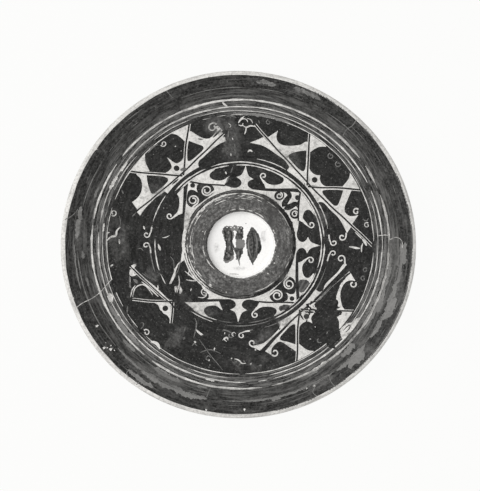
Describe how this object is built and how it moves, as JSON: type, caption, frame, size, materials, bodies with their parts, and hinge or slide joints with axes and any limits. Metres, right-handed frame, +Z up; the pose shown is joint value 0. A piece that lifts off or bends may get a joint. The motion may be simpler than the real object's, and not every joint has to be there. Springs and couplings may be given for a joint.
{
  "type": "painted pottery plate",
  "caption": "Shallow wheel-thrown pottery plate on a ring foot, with a collared sunk centre, a floor painted with scrolls and squares, turned ridges and a flared rim with a rolled lip.",
  "frame": {"origin": "centre of the ring foot, on the surface that the plate stands on", "axes": "+Z up out of the dish; +X to the right and +Y to the top of the picture, along and across the plate's slightly longer diameter"},
  "size_m": [0.2667, 0.2606, 0.0294],
  "materials": {
    "slip_painted_earthenware": "satin"
  },
  "bodies": {
    "root": {"plate": "slip_painted_earthenware"}
  },
  "joints": []
}
